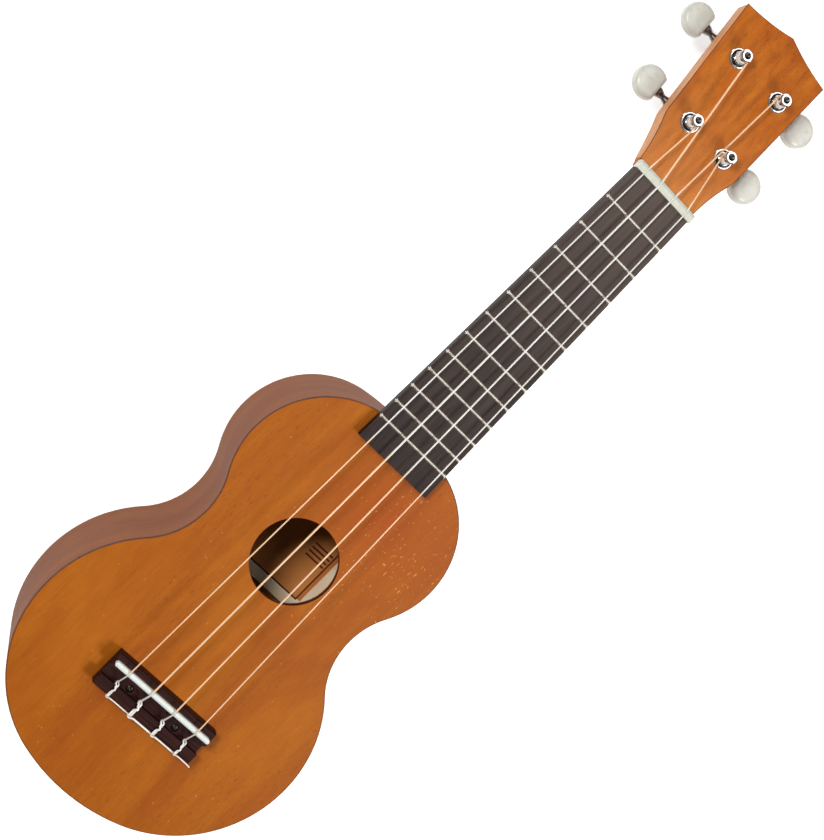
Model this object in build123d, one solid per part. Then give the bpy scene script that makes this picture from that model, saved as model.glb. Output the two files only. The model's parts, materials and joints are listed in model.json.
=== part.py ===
"""Soprano ukulele lying on its back, as an assembly of separate pieces.

Units are millimetres. +Z comes out of the face, +Y points to the headstock and +X to the
treble side. The origin is the middle of the footprint, on the underside of the back.
Each piece is written to parts/NAME.step.
"""
from build123d import *
import os
from math import acos, atan2, cos, hypot, pi, radians, sin, sqrt, tan

# ---------------------------------------------------------------- driving dimensions
SCALE_LENGTH = 345.0
FRET_COUNT = 12
STRING_NAMES = ("g", "c", "e", "a")
STRING_DIAMETERS = (0.74, 1.04, 0.90, 0.74)

# Body outline, from the nut's front edge (stations) and from the centre line (halves).
TAIL_STATION = 416.6
SHOULDER_STATION = 170.0
LOWER_BOUT_STATION, LOWER_BOUT_HALF, LOWER_BOUT_RADIUS = 344.0, 81.5, 71.0
WAIST_STATION, WAIST_HALF = 265.7, 50.0
UPPER_BOUT_STATION, UPPER_BOUT_HALF = 220.0, 62.3
BODY_DEPTH = 62.0
PLATE_THICKNESS = 2.0
RIB_THICKNESS = 1.8
LINING_WIDTH, LINING_HEIGHT = 4.5, 6.0
SOUND_HOLE_STATION, SOUND_HOLE_RADIUS = 254.8, 22.4

# Neck, fingerboard and headstock
NUT_HALF_WIDTH = 19.1
BOARD_FLARE = 0.023
BOARD_THICKNESS = 5.2
BOARD_OVERHANG = 14.5
FRET_HEIGHT, FRET_WIDTH, FRET_TANG, FRET_SLOT = 1.0, 2.0, 1.7, 0.6
NUT_THICKNESS, NUT_OVERHANG = 4.8, 0.3
STRING_OVER_FIRST_FRET = 0.6
HEAD_TILT = 14.0
HEAD_LENGTH = 104.8
HEAD_THICKNESS = 10.3
HEAD_STEP = 1.5

# Bridge and saddle
BRIDGE_HALF_LENGTH = 32.0
BRIDGE_FRONT_STATION, BRIDGE_REAR_STATION = 343.3, 363.9
BRIDGE_HEIGHT = 8.0
SADDLE_STATION, SADDLE_THICKNESS, SADDLE_HALF_LENGTH = 348.3, 3.0, 31.2
SADDLE_OVER_FRETS = 5.0
STRING_SPREAD_AT_NUT, STRING_SPREAD_AT_SADDLE = 29.2, 45.4

# Tuning machines: posts on the headstock, as (across, along) from the nut's rear edge
LOWER_POST, UPPER_POST = (12.65, 32.1), (15.1, 74.7)
POST_RADIUS, POST_WAIST_RADIUS, POST_HEIGHT = 3.0, 2.35, 9.2
GEAR_TEETH, WORM_PITCH = 14, 2.2
GEAR_TIP_RADIUS, GEAR_ROOT_RADIUS, GEAR_THICKNESS = 5.5, 4.05, 3.0
WORM_TIP_RADIUS, WORM_ROOT_RADIUS, SHAFT_RADIUS = 3.15, 1.75, 1.6
WORM_OFFSET = 7.4
WORM_DROP = 8.0
BUTTON_NEAR, BUTTON_RADIUS, BUTTON_CHORD, BUTTON_THICKNESS = 18.2, 9.0, 5.9, 7.6
RUNNING_CLEARANCE = 0.05
PLATE_METAL = 1.2

# ---------------------------------------------------------------- derived positions
HEAD_COS, HEAD_SIN = cos(radians(HEAD_TILT)), sin(radians(HEAD_TILT))
TIP_STATION = -(NUT_THICKNESS + HEAD_LENGTH * HEAD_COS)
NUT_Y = (TAIL_STATION + TIP_STATION) / 2
TOP_Z = BODY_DEPTH
BOARD_TOP_Z = TOP_Z + BOARD_THICKNESS
FRET_TOP_Z = BOARD_TOP_Z + FRET_HEIGHT
SADDLE_TOP_Z = FRET_TOP_Z + SADDLE_OVER_FRETS
NECK_JOINT_STATION = SCALE_LENGTH / 2
BOARD_END_STATION = NECK_JOINT_STATION + BOARD_OVERHANG
RIB_BOTTOM_Z, RIB_TOP_Z = PLATE_THICKNESS, TOP_Z - PLATE_THICKNESS
HEAD_PLANE = Plane(
    origin=(0, NUT_Y + NUT_THICKNESS, TOP_Z + HEAD_STEP),
    x_dir=(1, 0, 0),
    z_dir=(0, HEAD_SIN, HEAD_COS),
)


def y_at(station):
    """Y of a distance measured from the nut's front edge towards the tail."""
    return NUT_Y - station


def board_half_width(station):
    return NUT_HALF_WIDTH + BOARD_FLARE * station


def save(name, shape):
    """Write one named piece; a list is a group of separate solids."""
    if isinstance(shape, (list, tuple)):
        shape = Compound(children=list(shape))
    shape.label = name
    export_step(shape, f"parts/{name}.step")


def block(x_range, y_range, z_range):
    """An axis-aligned block between pairs of limits."""
    sizes = [high - low for low, high in (x_range, y_range, z_range)]
    middle = [(high + low) / 2 for low, high in (x_range, y_range, z_range)]
    return Pos(*middle) * Box(*sizes)


def prism_along_x(profile, half_length):
    """A profile of (y, z) points, extruded both ways along X."""
    face = make_face(Polyline(*[(0, y, z) for y, z in profile], close=True))
    return extrude(face, amount=half_length, dir=(1, 0, 0), both=True)


def rod(start, end, radius):
    """A round bar from one point to another."""
    axis = Vector(*end) - Vector(*start)
    return Plane(origin=start, z_dir=axis) * Cylinder(
        radius, axis.length, align=(Align.CENTER, Align.CENTER, Align.MIN)
    )


def turned(profile):
    """A solid of revolution about Z from (radius, height) points."""
    face = make_face(Polyline(*[(r, 0, z) for r, z in profile], close=True))
    return revolve(face, Axis.Z)


# ---------------------------------------------------------------- body outline
def outline_arcs(inset):
    """Centres and radii of the five tangent arcs of one half, tail to shoulder.

    The bout and waist widths with their stations fix every radius through the rule that
    neighbouring arcs are tangent. An inset shrinks the round arcs and grows the waist arc.
    """
    tail_y, shoulder_y = y_at(TAIL_STATION), y_at(SHOULDER_STATION)
    lower_y, waist_y, upper_y = y_at(LOWER_BOUT_STATION), y_at(WAIST_STATION), y_at(UPPER_BOUT_STATION)
    lower_x = LOWER_BOUT_HALF - LOWER_BOUT_RADIUS
    across = WAIST_HALF - lower_x
    waist_radius = (across**2 + (waist_y - lower_y) ** 2 - LOWER_BOUT_RADIUS**2) / (
        2 * (LOWER_BOUT_RADIUS - across)
    )
    waist_x = WAIST_HALF + waist_radius
    across = waist_x - UPPER_BOUT_HALF
    upper_radius = (across**2 + (waist_y - upper_y) ** 2 - waist_radius**2) / (
        2 * (waist_radius - across)
    )
    upper_x = UPPER_BOUT_HALF - upper_radius
    rise = lower_y - tail_y
    tail_radius = (lower_x**2 + rise**2 - LOWER_BOUT_RADIUS**2) / (2 * (rise - LOWER_BOUT_RADIUS))
    rise = shoulder_y - upper_y
    shoulder_radius = (upper_x**2 + rise**2 - upper_radius**2) / (2 * (rise - upper_radius))
    return [
        ((0, tail_y + tail_radius), tail_radius - inset),
        ((lower_x, lower_y), LOWER_BOUT_RADIUS - inset),
        ((waist_x, waist_y), waist_radius + inset),
        ((upper_x, upper_y), upper_radius - inset),
        ((0, shoulder_y - shoulder_radius), shoulder_radius - inset),
    ]


def joint_point(inner, outer):
    """Where two tangent arcs meet: on the line of centres, outside the first centre."""
    (x0, y0), radius = inner
    (x1, y1), _ = outer
    reach = hypot(x1 - x0, y1 - y0)
    return (x0 + (x1 - x0) / reach * radius, y0 + (y1 - y0) / reach * radius)


def arc_between(start, end, centre, radius, hollow=False):
    """The short arc from start to end; hollow means its centre is outside the body."""
    mid_x, mid_y = (start[0] + end[0]) / 2 - centre[0], (start[1] + end[1]) / 2 - centre[1]
    reach = hypot(mid_x, mid_y)
    middle = (centre[0] + mid_x / reach * radius, centre[1] + mid_y / reach * radius)
    return ThreePointArc(start, middle, end)


def body_face(inset=0.0):
    """The figure-of-eight outline of the body, inset from the outside, at Z = 0."""
    tail, lower, waist, upper, shoulder = outline_arcs(inset)
    tail_end = (0, tail[0][1] - tail[1])
    shoulder_end = (0, shoulder[0][1] + shoulder[1])
    tail_lower = joint_point(lower, (tail[0], 0))
    tail_lower = (2 * lower[0][0] - tail_lower[0], 2 * lower[0][1] - tail_lower[1])
    lower_waist = joint_point(lower, waist)
    waist_upper = joint_point(upper, waist)
    upper_shoulder = joint_point(upper, (shoulder[0], 0))
    upper_shoulder = (2 * upper[0][0] - upper_shoulder[0], 2 * upper[0][1] - upper_shoulder[1])
    half = [
        arc_between(tail_end, tail_lower, *tail),
        arc_between(tail_lower, lower_waist, *lower),
        arc_between(lower_waist, waist_upper, *waist),
        arc_between(waist_upper, upper_shoulder, *upper),
        arc_between(upper_shoulder, shoulder_end, *shoulder),
    ]
    edges = []
    for curve in half:
        edges += curve.edges()
        edges += mirror(curve, about=Plane.YZ).edges()
    return make_face(edges)


def body_slab(inset, z_low, z_high):
    """The body outline as a slab between two heights."""
    return Pos(0, 0, z_low) * extrude(body_face(inset), amount=z_high - z_low)


def half_of(shape, side):
    """The part of a shape on one side of the centre plane; side is -1 or +1."""
    x_range = (0, 200) if side > 0 else (-200, 0)
    return shape & block(x_range, (-400, 400), (-50, 150))


# ---------------------------------------------------------------- body
DOWEL_RADIUS = 4.0
DOWEL_HEIGHTS = (44.0, 20.0)
DOWEL_STATIONS = (SHOULDER_STATION + 18, SHOULDER_STATION - 7)
HOLE_PATCH_WIDTH, HOLE_PATCH_THICKNESS = 9.0, 1.4
BRACE_INSET = RIB_THICKNESS + LINING_WIDTH
EDGE_ROUNDING = 0.7


def dowels(radius=DOWEL_RADIUS):
    ends = [y_at(station) for station in DOWEL_STATIONS]
    return [rod((0, ends[0], z), (0, ends[1], z), radius) for z in DOWEL_HEIGHTS]


def cut_all(shape, cutters):
    for cutter in cutters:
        shape = shape - cutter
    return shape


def make_soundboard():
    board = body_slab(0, RIB_TOP_Z, TOP_Z)
    board = fillet(board.faces().sort_by(Axis.Z)[-1].edges(), EDGE_ROUNDING)
    hole = rod(
        (0, y_at(SOUND_HOLE_STATION), RIB_TOP_Z - 1), (0, y_at(SOUND_HOLE_STATION), TOP_Z + 1),
        SOUND_HOLE_RADIUS,
    )
    board = board - hole
    rim = board.edges().filter_by(GeomType.CIRCLE).filter_by(
        lambda edge: abs(edge.radius - SOUND_HOLE_RADIUS) < 0.01 and edge.center().Z > TOP_Z - 0.1
    )
    return fillet(rim, 0.4)


def make_back():
    plate = body_slab(0, 0, PLATE_THICKNESS)
    return fillet(plate.faces().sort_by(Axis.Z)[0].edges(), EDGE_ROUNDING)


def make_sides():
    shell = body_slab(0, RIB_BOTTOM_Z, RIB_TOP_Z) - body_slab(RIB_THICKNESS, RIB_BOTTOM_Z, RIB_TOP_Z)
    shell = cut_all(shell, dowels())
    return {"left_side": half_of(shell, -1), "right_side": half_of(shell, 1)}


NECK_BLOCK_HALF, NECK_BLOCK_LENGTH = 25.0, 20.0
TAIL_BLOCK_HALF, TAIL_BLOCK_LENGTH = 22.0, 14.0


def make_neck_block():
    room = body_slab(RIB_THICKNESS, RIB_BOTTOM_Z, RIB_TOP_Z)
    front = y_at(SHOULDER_STATION + RIB_THICKNESS + NECK_BLOCK_LENGTH)
    solid = room & block((-NECK_BLOCK_HALF, NECK_BLOCK_HALF), (front, front + 60), (0, TOP_Z))
    return cut_all(solid, dowels())


def make_tail_block():
    room = body_slab(RIB_THICKNESS, RIB_BOTTOM_Z, RIB_TOP_Z)
    front = y_at(TAIL_STATION - RIB_THICKNESS - TAIL_BLOCK_LENGTH)
    return room & block((-TAIL_BLOCK_HALF, TAIL_BLOCK_HALF), (front - 60, front), (0, TOP_Z))


def make_linings():
    """Four strips that widen the glue line of each rib to the soundboard and the back."""
    strips = {}
    blocks = [
        block((-NECK_BLOCK_HALF, NECK_BLOCK_HALF), (y_at(WAIST_STATION), NUT_Y), (0, TOP_Z)),
        block((-TAIL_BLOCK_HALF, TAIL_BLOCK_HALF), (-400, y_at(WAIST_STATION)), (0, TOP_Z)),
    ]
    for level, z_low in (("top", RIB_TOP_Z - LINING_HEIGHT), ("back", RIB_BOTTOM_Z)):
        z_high = z_low + LINING_HEIGHT
        ring = body_slab(RIB_THICKNESS, z_low, z_high) - body_slab(BRACE_INSET, z_low, z_high)
        ring = cut_all(ring, blocks)
        for name, side in (("left", -1), ("right", 1)):
            strips[f"{level}_lining_{name}"] = half_of(ring, side)
    return strips


def cross_brace(station, width, height, under_top):
    """A straight bar from lining to lining, with scooped ends."""
    z_range = (RIB_TOP_Z - height, RIB_TOP_Z) if under_top else (RIB_BOTTOM_Z, RIB_BOTTOM_Z + height)
    y_range = (y_at(station) - width / 2, y_at(station) + width / 2)
    bar = block((-100, 100), y_range, z_range) & body_slab(BRACE_INSET, 0, TOP_Z)
    crown_z = z_range[0] if under_top else z_range[1]
    return chamfer(bar.edges().filter_by(Axis.X).filter_by(
        lambda edge: abs(edge.center().Z - crown_z) < 0.01), width * 0.3)


BRACES = {
    "top_brace_upper": (222.0, 7.0, 8.0, True),
    "top_brace_lower": (287.0, 7.0, 8.0, True),
    "back_brace_upper": (212.0, 9.0, 6.0, False),
    "back_brace_middle": (292.0, 9.0, 6.0, False),
    "back_brace_lower": (356.0, 9.0, 6.0, False),
}
BRIDGE_PLATE_HALF, BRIDGE_PLATE_THICKNESS = 42.0, 1.6
BRIDGE_PLATE_STATIONS = (341.0, 368.0)
FAN_BRACE_WIDTH, FAN_BRACE_HEIGHT, FAN_SPREAD = 5.0, 4.5, 24.0
FAN_STATIONS = (291.5, 398.0)


def make_bridge_plate():
    ends = [y_at(station) for station in BRIDGE_PLATE_STATIONS]
    return block(
        (-BRIDGE_PLATE_HALF, BRIDGE_PLATE_HALF), (ends[1], ends[0]),
        (RIB_TOP_Z - BRIDGE_PLATE_THICKNESS, RIB_TOP_Z),
    )


def make_fan_braces():
    """Three light bars that spread under the lower bout, notched over the bridge plate."""
    near, far = (y_at(station) for station in FAN_STATIONS)
    bars = []
    for side in (-1, 0, 1):
        near_x, far_x = side * FAN_SPREAD * 0.6, side * FAN_SPREAD * 1.6
        half = FAN_BRACE_WIDTH / 2
        plan = make_face(Polyline(
            (near_x - half, near), (near_x + half, near), (far_x + half, far), (far_x - half, far),
            close=True,
        ))
        bar = Pos(0, 0, RIB_TOP_Z - FAN_BRACE_HEIGHT) * extrude(plan, amount=FAN_BRACE_HEIGHT)
        bars.append((bar & body_slab(BRACE_INSET, 0, TOP_Z)) - make_bridge_plate())
    return bars


def make_hole_patch():
    centre = (0, y_at(SOUND_HOLE_STATION))
    z_low = RIB_TOP_Z - HOLE_PATCH_THICKNESS
    ring = rod((*centre, z_low), (*centre, RIB_TOP_Z), SOUND_HOLE_RADIUS + HOLE_PATCH_WIDTH)
    ring = ring - rod((*centre, z_low - 1), (*centre, TOP_Z), SOUND_HOLE_RADIUS)
    limits = (y_at(287.0) + 3.5, y_at(222.0) - 3.5)
    return ring & block((-100, 100), limits, (0, TOP_Z))


LABEL_HALF_WIDTH, LABEL_HALF_LENGTH, LABEL_THICKNESS = 41.8, 31.0, 0.25
LABEL_STATION = 252.2


def make_label():
    middle = y_at(LABEL_STATION)
    return block(
        (-LABEL_HALF_WIDTH, LABEL_HALF_WIDTH),
        (middle - LABEL_HALF_LENGTH, middle + LABEL_HALF_LENGTH),
        (PLATE_THICKNESS, PLATE_THICKNESS + LABEL_THICKNESS),
    )


# ---------------------------------------------------------------- neck
# Neck sections: station, depth under the fingerboard, squareness (2 is an ellipse)
NECK_SECTIONS = (
    (NECK_JOINT_STATION, 15.0, 2.0),
    (120.0, 14.0, 2.0),
    (60.0, 13.0, 2.0),
    (14.0, 12.3, 2.1),
    (-1.0, 12.2, 2.2),
    (-17.0, 12.2, 2.3),
)
NECK_INSET = 0.3
FACE_OVERLAP = 0.5
# Heel sections: height, half width, length ahead of the body
HEEL_SECTIONS = ((54.0, 18.9, 46.0), (40.0, 15.6, 27.0), (20.0, 10.6, 20.0), (0.0, 6.2, 17.0))
SECTION_POINTS = 12
# Headstock outline, as (across, along) in its own tilted plane
HEAD_START = (19.5, -2.5)
HEAD_FLARE_END = (25.4, 27.2)
HEAD_CORNER = (29.7, 98.8)
CROWN_SAG, HEAD_EDGE = 1.0, 0.45
# Where the neck's round back runs out into the headstock: along, half width, lower corner radius
HEAD_BLEND = ((-3.0, 19.7, 8.4), (6.0, 21.2, 4.4), (14.0, 23.0, 2.4), (26.0, 27.0, 0.8))


def power(value, exponent):
    return abs(value) ** exponent * (1 if value >= 0 else -1)


def neck_section(station, depth, squareness):
    half, exponent = board_half_width(station) - NECK_INSET, 2 / squareness
    angles = [pi * i / SECTION_POINTS for i in range(SECTION_POINTS + 1)]
    belly = [
        (half * power(cos(t), exponent), y_at(station), TOP_Z - depth * power(sin(t), exponent))
        for t in angles
    ]
    return make_face([Spline(*belly), Line(belly[-1], belly[0])])


def heel_section(height, half_width, length):
    plane = Plane(origin=(0, y_at(NECK_JOINT_STATION + 4), height), z_dir=(0, 0, 1))
    arc = plane * EllipticalCenterArc((0, 0), half_width, length, start_angle=0, arc_size=180)
    return make_face([arc, Line(arc @ 1, arc @ 0)])


def head_face():
    sag_x, sag_along = HEAD_CORNER[0] / 2, (HEAD_CORNER[1] + HEAD_LENGTH) / 2 - CROWN_SAG
    flare = TangentArc(HEAD_START, HEAD_FLARE_END, tangent=(0.04, 1))
    side = Line(HEAD_FLARE_END, HEAD_CORNER)
    crown = ThreePointArc(HEAD_CORNER, (sag_x, sag_along), (0, HEAD_LENGTH))
    half = [flare, side, crown]
    edges = [Line((-HEAD_START[0], HEAD_START[1]), HEAD_START)]
    for curve in half:
        edges += curve.edges()
        edges += mirror(curve, about=Plane.YZ).edges()
    face = make_face(edges)
    shoulders = [v for v in face.vertices() if abs(v.Y - HEAD_FLARE_END[1]) < 0.01]
    return fillet(shoulders, 14.0)


def make_head():
    slab = Pos(0, 0, -HEAD_THICKNESS) * extrude(head_face(), amount=HEAD_THICKNESS)
    sections = []
    for along, half, radius in HEAD_BLEND:
        low, flat, bend = -HEAD_THICKNESS, half - radius, radius * (1 - sqrt(0.5))
        right = ThreePointArc(
            (flat, along, low), (half - bend, along, low + bend), (half, along, low + radius))
        left = ThreePointArc(
            (-half, along, low + radius), (bend - half, along, low + bend), (-flat, along, low))
        sections.append(make_face([
            Line((-flat, along, low), (flat, along, low)), right,
            Line((half, along, low + radius), (half, along, 1)), Line((half, along, 1), (-half, along, 1)),
            Line((-half, along, 1), (-half, along, low + radius)), left,
        ]))
    root = slab & loft(sections)
    rest = slab & block((-100, 100), (HEAD_BLEND[-1][0], 200), (-100, 100))
    return HEAD_PLANE.location * (root + rest)


def make_neck():
    shaft = loft([neck_section(*row) for row in NECK_SECTIONS])
    shaft = shaft - HEAD_PLANE.location * block((-60, 60), (2, 60), (-FACE_OVERLAP, 30))
    heel = loft([heel_section(*row) for row in HEEL_SECTIONS])
    head = make_head() - block((-60, 60), (y_at(20), y_at(-NUT_THICKNESS)), (TOP_Z, 100))
    head = chamfer(head.faces().filter_by(
        lambda face: abs(face.center().Z - (HEAD_PLANE * Pos(0, 60, 0)).position.Z) < 3
    ).sort_by(Axis.Z)[-1].edges().filter_by(lambda edge: edge.center().Y > NUT_Y + 12), HEAD_EDGE)
    neck = shaft + heel + head
    neck = neck - body_slab(0, -5, TOP_Z)
    neck = neck - block((-60, 60), (-400, y_at(SHOULDER_STATION + 8)), (-10, 100))
    neck = cut_all(neck, dowels())
    for across, along, _ in post_places():
        unit = HEAD_PLANE.location * Pos(across, along, 0)
        neck = neck - unit * Cylinder(BUSHING_RADIUS, 4 * HEAD_THICKNESS)
        for screw_along in PLATE_SCREWS:
            pilot = Cylinder(SCREW_RADIUS, SCREW_LENGTH, align=(Align.CENTER, Align.CENTER, Align.MIN))
            neck = neck - unit * Pos(0, screw_along, -HEAD_THICKNESS) * pilot
    return neck


def fret_station(number):
    return SCALE_LENGTH * (1 - 2 ** (-number / 12))


def make_fingerboard():
    end = BOARD_END_STATION
    plan = make_face(Polyline(
        (-board_half_width(0), y_at(0)), (board_half_width(0), y_at(0)),
        (board_half_width(end), y_at(end)), (-board_half_width(end), y_at(end)), close=True,
    ))
    board = Pos(0, 0, TOP_Z) * extrude(plan, amount=BOARD_THICKNESS)
    long_edges = board.faces().sort_by(Axis.Z)[-1].edges().filter_by(
        lambda edge: edge.length > SCALE_LENGTH / 3)
    board = fillet(long_edges, 0.6)
    for number in range(1, FRET_COUNT + 1):
        middle = y_at(fret_station(number))
        board = board - block(
            (-40, 40), (middle - FRET_SLOT / 2, middle + FRET_SLOT / 2),
            (BOARD_TOP_Z - FRET_TANG, BOARD_TOP_Z + 5),
        )
    return board


def make_frets():
    """Each fret is a crown over a thin tang, with its ends filed back at a slant."""
    frets = []
    for number in range(1, FRET_COUNT + 1):
        station = fret_station(number)
        middle, half = y_at(station), board_half_width(station)
        crown = ThreePointArc(
            (0, middle - FRET_WIDTH / 2, BOARD_TOP_Z), (0, middle, FRET_TOP_Z),
            (0, middle + FRET_WIDTH / 2, BOARD_TOP_Z),
        )
        section = make_face([crown, Line(crown @ 0, crown @ 1)])
        bar = extrude(section, amount=half, dir=(1, 0, 0), both=True)
        tang = block(
            (-half, half), (middle - FRET_SLOT / 2, middle + FRET_SLOT / 2),
            (BOARD_TOP_Z - FRET_TANG, BOARD_TOP_Z + 0.1),
        )
        slant = make_face(Polyline(
            (-half, middle, 0), (half, middle, 0), (half, middle, BOARD_TOP_Z - 0.2),
            (half - 0.9, middle, FRET_TOP_Z + 0.2), (0.9 - half, middle, FRET_TOP_Z + 0.2),
            (-half, middle, BOARD_TOP_Z - 0.2), close=True,
        ))
        keep = extrude(slant, amount=FRET_WIDTH, dir=(0, 1, 0), both=True)
        frets.append((bar + tang) & keep)
    return frets


# ---------------------------------------------------------------- strings, nut and bridge
SLOT_CLEARANCE = 0.05
TIE_HOLE_Z = TOP_Z + 5.4
TIE_HOLE_RADIUS = 0.8
CHANNEL_STATIONS = (351.6, 357.4)
CHANNEL_FLOOR = 3.8
BOLT_X, BOLT_STATION, BOLT_RECESS_RADIUS, BOLT_RECESS_DEPTH = 15.3, 355.2, 2.0, 1.6
TIE_BAR_ROUNDING, FRONT_ROUNDING = 1.6, 1.4
WINDING_RINGS = 3
WINDING_START, TURN_GAP = 2.1, 0.04
NUT_BEND, TIE_BEND, HOLE_BEND = 6.0, 1.1, 3.0
STRING_GAP = 0.03
TIE_SIDESTEP = 0.95


def string_x(index, spread):
    return spread * (index / (len(STRING_NAMES) - 1) - 0.5)


def post_places():
    """Across, along and side of the posts, in the order of the strings."""
    return [
        (-LOWER_POST[0], LOWER_POST[1], -1),
        (-UPPER_POST[0], UPPER_POST[1], -1),
        (UPPER_POST[0], UPPER_POST[1], 1),
        (LOWER_POST[0], LOWER_POST[1], 1),
    ]


def nut_break(index):
    """The bend of a string on the nut, halfway through its thickness."""
    radius = STRING_DIAMETERS[index] / 2
    x = string_x(index, STRING_SPREAD_AT_NUT)
    return Vector(x, NUT_Y + NUT_THICKNESS / 2, FRET_TOP_Z + STRING_OVER_FIRST_FRET + radius)


def landing_point(index):
    """Where a string first touches its post: the tangent on the side of the centre line."""
    across, along, side = post_places()[index]
    start = HEAD_PLANE.to_local_coords(nut_break(index))
    radius = STRING_DIAMETERS[index] / 2
    reach = POST_WAIST_RADIUS + radius + STRING_GAP
    away_x, away_y = start.X - across, start.Y - along
    heading = atan2(away_y, away_x) + side * -acos(reach / hypot(away_x, away_y))
    height = WINDING_START + WINDING_RINGS * (2 * radius + TURN_GAP) + radius + STRING_GAP
    local = (across + reach * cos(heading), along + reach * sin(heading), height)
    return Vector(*(HEAD_PLANE.location * Pos(*local)).position)


def string_points(index):
    """Corner points of a string and the bend radius at each inner one.

    The end is looped over the tie bar, goes back through its hole, up over the saddle,
    along the neck, through the nut and on to its post.
    """
    radius = STRING_DIAMETERS[index] / 2
    x = string_x(index, STRING_SPREAD_AT_SADDLE)
    bar_top = TOP_Z + BRIDGE_HEIGHT + radius + STRING_GAP
    rear = y_at(BRIDGE_REAR_STATION) - radius - STRING_GAP
    mouth_station = CHANNEL_STATIONS[1] - 0.6
    crown = SADDLE_THICKNESS / 2
    turn = atan2(SADDLE_TOP_Z + radius - TIE_HOLE_Z, mouth_station - SADDLE_STATION)
    saddle_bend = crown + radius + STRING_GAP
    reach = saddle_bend / cos(turn / 2)
    points = [
        (x + TIE_SIDESTEP, y_at(mouth_station), bar_top),
        (x + TIE_SIDESTEP, rear, bar_top),
        (x, rear, TIE_HOLE_Z),
        (x, y_at(mouth_station), TIE_HOLE_Z),
        (x, y_at(SADDLE_STATION) - reach * sin(turn / 2), SADDLE_TOP_Z - crown + reach * cos(turn / 2)),
        tuple(nut_break(index)),
        tuple(landing_point(index)),
    ]
    return points, [TIE_BEND, TIE_BEND, HOLE_BEND, saddle_bend, NUT_BEND]


def make_string(index):
    points, bends = string_points(index)
    route = FilletPolyline(*points, radius=bends)
    start = Plane(origin=route @ 0, z_dir=route % 0)
    return sweep(start * Circle(STRING_DIAMETERS[index] / 2), path=route), route.length


def make_winding(index):
    """The turns of a string that lie on its post."""
    across, along, _ = post_places()[index]
    radius = STRING_DIAMETERS[index] / 2
    ring_radius = POST_WAIST_RADIUS + radius + STRING_GAP
    rings = []
    for turn in range(WINDING_RINGS):
        height = WINDING_START + turn * (2 * radius + TURN_GAP) + radius
        rings.append(HEAD_PLANE.location * Pos(across, along, height) * Torus(ring_radius, radius))
    return rings


def slot_cutter(corner, along, radius):
    """A slot that is open at the top, from a corner point along one run of a string."""
    run = (along - corner).normalized()
    level = Vector(-run.Y, run.X, 0).normalized()
    plane = Plane(origin=corner, x_dir=run, z_dir=run.cross(level))
    return plane.location * Pos(4.8, 0, 5.0 - radius) * Box(10, 2 * radius, 10)


def make_nut():
    front, rear = NUT_Y, NUT_Y + NUT_THICKNESS
    top = FRET_TOP_Z + STRING_OVER_FIRST_FRET + 0.75
    body = prism_along_x(
        [(front, TOP_Z), (rear, TOP_Z), (rear, top - 1.6), (rear - 1.5, top - 0.25), (front, top)],
        NUT_HALF_WIDTH + NUT_OVERHANG,
    )
    body = fillet(body.edges().filter_by(Axis.X).filter_by(lambda edge: edge.center().Z > top - 2), 0.35)
    for index, diameter in enumerate(STRING_DIAMETERS):
        corner = nut_break(index)
        saddle = Vector(*string_points(index)[0][4])
        radius = diameter / 2 + SLOT_CLEARANCE
        body = body - slot_cutter(corner, saddle, radius)
        body = body - slot_cutter(corner, landing_point(index), radius)
    return body


def make_saddle():
    """A bone strip with round ends and a round crown."""
    middle, half = y_at(SADDLE_STATION), SADDLE_THICKNESS / 2
    plan = Pos(0, middle, 0) * SlotOverall(2 * SADDLE_HALF_LENGTH, SADDLE_THICKNESS)
    foot = TOP_Z + CHANNEL_FLOOR - 1.0
    strip = Pos(0, 0, foot) * extrude(plan, amount=SADDLE_TOP_Z - foot)
    crown = prism_along_x([(middle - half, foot), (middle + half, foot),
                           (middle + half, SADDLE_TOP_Z - half), (middle - half, SADDLE_TOP_Z - half)], 40)
    crown = crown + rod((-40, middle, SADDLE_TOP_Z - half), (40, middle, SADDLE_TOP_Z - half), half)
    return strip & crown


def make_bridge():
    front, rear = y_at(BRIDGE_FRONT_STATION), y_at(BRIDGE_REAR_STATION)
    channel_front, channel_rear = (y_at(station) for station in CHANNEL_STATIONS)
    top = TOP_Z + BRIDGE_HEIGHT
    base = block((-BRIDGE_HALF_LENGTH, BRIDGE_HALF_LENGTH), (rear, front), (TOP_Z, top))
    long_top = base.edges().filter_by(Axis.X).group_by(Axis.Z)[-1].sort_by(Axis.Y)
    base = fillet(long_top[0], TIE_BAR_ROUNDING)
    long_top = base.edges().filter_by(Axis.X).group_by(Axis.Z)[-1].sort_by(Axis.Y)
    base = fillet(long_top[-1], FRONT_ROUNDING)
    floor = TOP_Z + CHANNEL_FLOOR
    channel = prism_along_x(
        [(channel_rear, floor), (channel_front - 0.5, floor), (channel_front, top + 1),
         (channel_rear - 0.1, top + 1)],
        60,
    )
    middle, half = y_at(SADDLE_STATION), SADDLE_THICKNESS / 2
    foot = TOP_Z + CHANNEL_FLOOR - 1.0
    slot = Pos(0, middle, foot) * extrude(SlotOverall(2 * SADDLE_HALF_LENGTH, SADDLE_THICKNESS), amount=20)
    base = base - channel - slot
    for index in range(len(STRING_NAMES)):
        x = string_x(index, STRING_SPREAD_AT_SADDLE)
        base = base - rod((x, rear - 5, TIE_HOLE_Z), (x, channel_rear + 1, TIE_HOLE_Z), TIE_HOLE_RADIUS)
    for side in (-1, 1):
        x, y = side * BOLT_X, y_at(BOLT_STATION)
        base = base - rod((x, y, floor - BOLT_RECESS_DEPTH), (x, y, top), BOLT_RECESS_RADIUS)
    return base


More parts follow.
